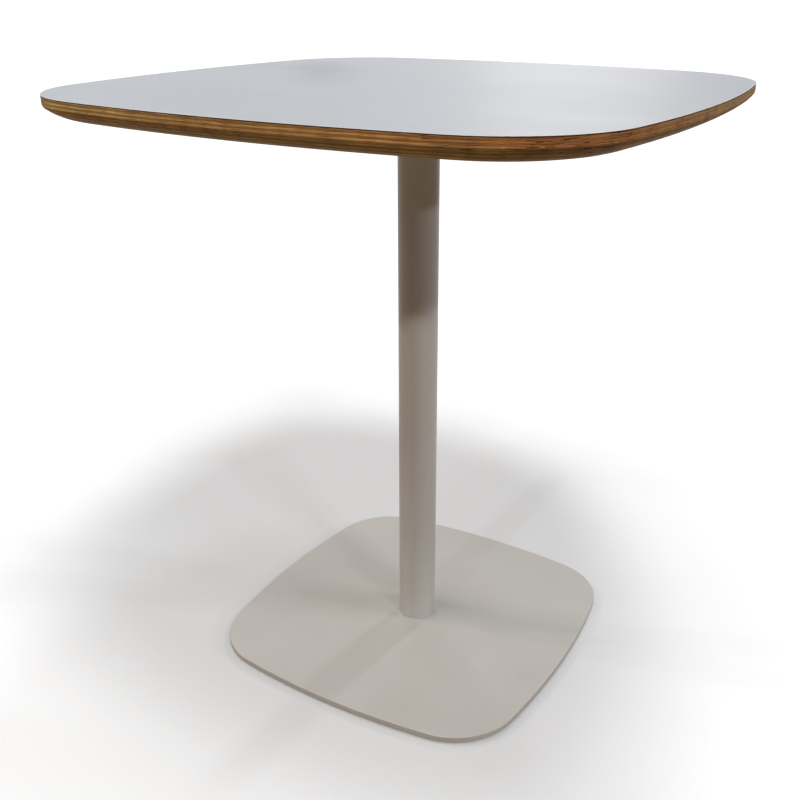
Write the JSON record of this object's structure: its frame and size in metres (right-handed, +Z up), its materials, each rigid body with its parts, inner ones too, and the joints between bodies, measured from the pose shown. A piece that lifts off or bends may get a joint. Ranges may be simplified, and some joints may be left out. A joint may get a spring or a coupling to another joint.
{
  "type": "cafe table",
  "caption": "Pedestal cafe table: a square plywood top with bowed sides and an undercut edge, a slim tube column and a thin flat base plate on levelling glides.",
  "frame": {"origin": "on the floor, under the middle of the column", "axes": "+Z up along the column; +X and +Y square to the table's bowed sides"},
  "size_m": [0.6998, 0.6998, 0.74],
  "materials": {
    "laminate": "satin pale grey hard laminate with a brown core",
    "plywood": "clear-lacquered birch plywood edge",
    "backer": "matt grey backing laminate",
    "powder_coat": "satin warm grey powder coat",
    "zinc_steel": "zinc-plated steel",
    "brass": "turned brass",
    "bare_steel": "bare welded steel",
    "nylon": "moulded black nylon"
  },
  "bodies": {
    "table": {"laminate_top": "laminate", "ply_core": "plywood", "laminate_backer": "backer", "thread_inserts": "brass", "mounting_plate": "powder_coat", "top_screws": "zinc_steel", "top_washers": "zinc_steel", "head_screws": "zinc_steel", "column_head_disc": "bare_steel", "column_tube": "powder_coat", "column_foot_disc": "bare_steel", "base_plate": "powder_coat", "base_screws": "zinc_steel"},
    "pad_1": {"glide_pad_1": "nylon"},
    "pad_2": {"glide_pad_2": "nylon"},
    "pad_3": {"glide_pad_3": "nylon"},
    "pad_4": {"glide_pad_4": "nylon"},
    "stud_1": {"glide_stud_1": "zinc_steel"},
    "stud_2": {"glide_stud_2": "zinc_steel"},
    "stud_3": {"glide_stud_3": "zinc_steel"},
    "stud_4": {"glide_stud_4": "zinc_steel"}
  },
  "joints": [
    {"name": "glide_slide_1", "type": "slide", "parent": "table", "child": "pad_1", "axis": [0, 0, -1], "range_m": [0, 0.0025]},
    {"name": "glide_slide_2", "type": "slide", "parent": "table", "child": "pad_2", "axis": [0, 0, -1], "range_m": [0, 0.0025]},
    {"name": "glide_slide_3", "type": "slide", "parent": "table", "child": "pad_3", "axis": [0, 0, -1], "range_m": [0, 0.0025]},
    {"name": "glide_slide_4", "type": "slide", "parent": "table", "child": "pad_4", "axis": [0, 0, -1], "range_m": [0, 0.0025]},
    {"name": "glide_turn_1", "type": "hinge", "parent": "pad_1", "child": "stud_1", "pos_m": [0.165, 0.165, 0], "axis": [0, 0, -1], "range_deg": [0, 720]},
    {"name": "glide_turn_2", "type": "hinge", "parent": "pad_2", "child": "stud_2", "pos_m": [-0.165, 0.165, 0], "axis": [0, 0, -1], "range_deg": [0, 720]},
    {"name": "glide_turn_3", "type": "hinge", "parent": "pad_3", "child": "stud_3", "pos_m": [-0.165, -0.165, 0], "axis": [0, 0, -1], "range_deg": [0, 720]},
    {"name": "glide_turn_4", "type": "hinge", "parent": "pad_4", "child": "stud_4", "pos_m": [0.165, -0.165, 0], "axis": [0, 0, -1], "range_deg": [0, 720]}
  ],
  "couplings": [
    {"joint": "glide_turn_1", "follows": "glide_slide_1", "rad_per_m": 5026.5},
    {"joint": "glide_turn_2", "follows": "glide_slide_2", "rad_per_m": 5026.5},
    {"joint": "glide_turn_3", "follows": "glide_slide_3", "rad_per_m": 5026.5},
    {"joint": "glide_turn_4", "follows": "glide_slide_4", "rad_per_m": 5026.5}
  ]
}
